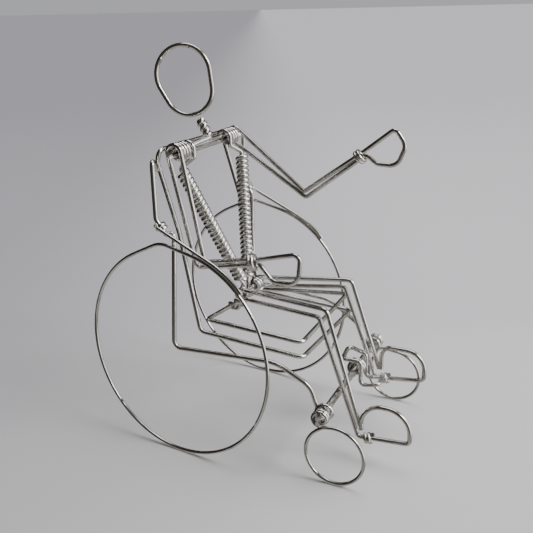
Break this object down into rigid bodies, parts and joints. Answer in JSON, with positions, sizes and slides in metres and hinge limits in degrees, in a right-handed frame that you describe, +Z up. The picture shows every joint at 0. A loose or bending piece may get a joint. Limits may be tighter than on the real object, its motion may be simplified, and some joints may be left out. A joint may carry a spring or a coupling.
{
  "type": "wire wheelchair figure sculpture",
  "caption": "Small sculpture bent and wound from bright wire: a faceless seated person in a wheelchair, arm raised, with large hoop wheels, small hoop casters and a footrest.",
  "frame": {"origin": "on the ground, in the middle of the sculpture's length and width", "axes": "+Z up, the sitter faces -Y, the sitter's right is -X"},
  "size_m": [0.0616, 0.0934, 0.1122],
  "materials": {
    "chair_wire": "polished",
    "figure_wire": "polished",
    "wheel_wire": "polished",
    "binding_wire": "polished"
  },
  "bodies": {
    "chair": {"front_bar_upper": "chair_wire", "front_bar_lower": "chair_wire", "seat_and_back_wire": "chair_wire", "seat_loop": "chair_wire", "right_side_frame": "chair_wire", "left_side_frame": "chair_wire", "shoulder_bar": "figure_wire", "right_neck_wire": "figure_wire", "left_neck_wire": "figure_wire", "head_loop": "figure_wire", "right_torso_core": "figure_wire", "right_torso_coil": "figure_wire", "left_torso_core": "figure_wire", "left_torso_coil": "figure_wire", "hip_bar": "figure_wire"},
    "right_arm_group": {"right_arm": "figure_wire", "right_shoulder_coil": "figure_wire", "right_wrist_wrap": "binding_wire"},
    "left_arm_group": {"left_arm": "figure_wire", "left_shoulder_coil": "figure_wire", "left_wrist_wrap": "binding_wire"},
    "right_leg_group": {"right_leg": "figure_wire", "right_hip_coil": "figure_wire", "right_ankle_wrap": "binding_wire"},
    "left_leg_group": {"left_leg": "figure_wire", "left_hip_coil": "figure_wire", "left_ankle_wrap": "binding_wire"},
    "right_wheel_group": {"right_wheel": "wheel_wire", "right_wheel_hanger": "wheel_wire"},
    "left_wheel_group": {"left_wheel": "wheel_wire", "left_wheel_hanger": "wheel_wire"},
    "right_caster_group": {"right_caster": "wheel_wire", "right_caster_hanger": "wheel_wire"},
    "left_caster_group": {"left_caster": "wheel_wire", "left_caster_hanger": "wheel_wire"},
    "footrest_group": {"footrest": "chair_wire", "footrest_coil": "chair_wire"}
  },
  "joints": [
    {"name": "right_shoulder", "type": "hinge", "parent": "chair", "child": "right_arm_group", "pos_m": [0.00038, 0.02008, 0.0844], "axis": [-1, 0, 0], "range_deg": [-25, 100]},
    {"name": "left_shoulder", "type": "hinge", "parent": "chair", "child": "left_arm_group", "pos_m": [0.00038, 0.02008, 0.0844], "axis": [-1, 0, 0], "range_deg": [-45, 25]},
    {"name": "right_hip", "type": "hinge", "parent": "chair", "child": "right_leg_group", "pos_m": [0.00038, 0.00778, 0.0414], "axis": [-1, 0, 0], "range_deg": [0, 60]},
    {"name": "left_hip", "type": "hinge", "parent": "chair", "child": "left_leg_group", "pos_m": [0.00038, 0.00778, 0.0414], "axis": [-1, 0, 0], "range_deg": [0, 60]},
    {"name": "right_wheel_hang", "type": "hinge", "parent": "chair", "child": "right_wheel_group", "pos_m": [-0.02483, 0.02032, 0.06593], "axis": [-0.0442, 0.5676, 0.8221], "range_deg": [-25, 12]},
    {"name": "left_wheel_hang", "type": "hinge", "parent": "chair", "child": "left_wheel_group", "pos_m": [0.02559, 0.02033, 0.06595], "axis": [0.0442, 0.5687, 0.8214], "range_deg": [0, 10]},
    {"name": "right_caster_hang", "type": "hinge", "parent": "chair", "child": "right_caster_group", "pos_m": [-0.02537, -0.02607, 0.01917], "axis": [0.9989, 0.0456, 0.007], "range_deg": [-40, 40]},
    {"name": "left_caster_hang", "type": "hinge", "parent": "chair", "child": "left_caster_group", "pos_m": [0.02613, -0.02372, 0.01953], "axis": [0.9989, 0.0456, 0.007], "range_deg": [-40, 40]},
    {"name": "footrest_hinge", "type": "hinge", "parent": "chair", "child": "footrest_group", "pos_m": [0.00653, -0.02461, 0.01939], "axis": [0.9989, 0.0456, 0.007], "range_deg": [-60, 8]}
  ]
}
